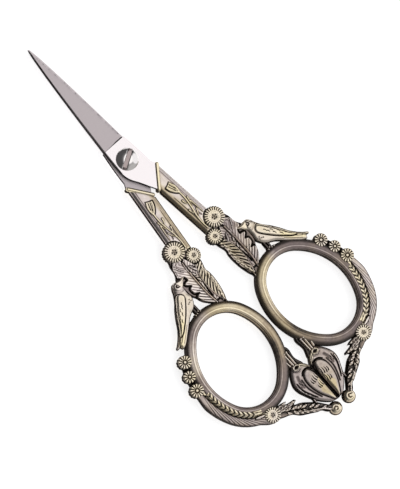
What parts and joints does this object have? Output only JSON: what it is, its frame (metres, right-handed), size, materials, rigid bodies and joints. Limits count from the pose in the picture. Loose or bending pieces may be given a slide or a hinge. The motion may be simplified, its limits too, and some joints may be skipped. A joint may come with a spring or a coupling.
{
  "type": "embroidery scissors",
  "caption": "Small pointed embroidery scissors with cast openwork handles of songbirds, daisies and leaves, joined at a slotted pivot screw.",
  "frame": {"origin": "on the pivot axis, at the flat end of the pivot screw, which lies in the plane that the scissors rest on", "axes": "+Z along the pivot axis, up out of the slotted screw head; +Y towards the blade tips; +X towards the handle that carries the upper blade"},
  "size_m": [0.059, 0.1288, 0.0053],
  "materials": {
    "blade_steel": "satin ground blade faces, mirror-polished ricasso",
    "screw_steel": "polished",
    "antique_brass": "antique brass, bright on the raised edges and dark in the recesses",
    "grey_brass": "antique brass worn to pewter grey, dark in the recesses"
  },
  "bodies": {
    "lower_lever": {"lower_blade": "blade_steel", "pivot_screw": "screw_steel", "left_collar": "antique_brass", "left_shank": "antique_brass", "left_shank_daisies": "antique_brass", "left_leaf_spray": "grey_brass", "left_perched_bird": "antique_brass", "left_finger_bow": "antique_brass", "left_rim_daisies": "antique_brass", "left_garland": "grey_brass", "left_finial_branch": "grey_brass", "left_lower_bird": "grey_brass"},
    "upper_lever": {"upper_blade": "blade_steel", "right_collar": "antique_brass", "right_shank": "antique_brass", "right_shank_daisies": "antique_brass", "right_leaf_spray": "grey_brass", "right_perched_bird": "antique_brass", "right_finger_bow": "antique_brass", "right_rim_daisies": "antique_brass", "right_garland": "grey_brass", "right_finial_branch": "grey_brass", "right_lower_bird": "grey_brass"}
  },
  "joints": [
    {"name": "pivot", "type": "hinge", "parent": "lower_lever", "child": "upper_lever", "pos_m": [0, 0, 0], "axis": [0, 0, 1], "range_deg": [0, 75]}
  ]
}
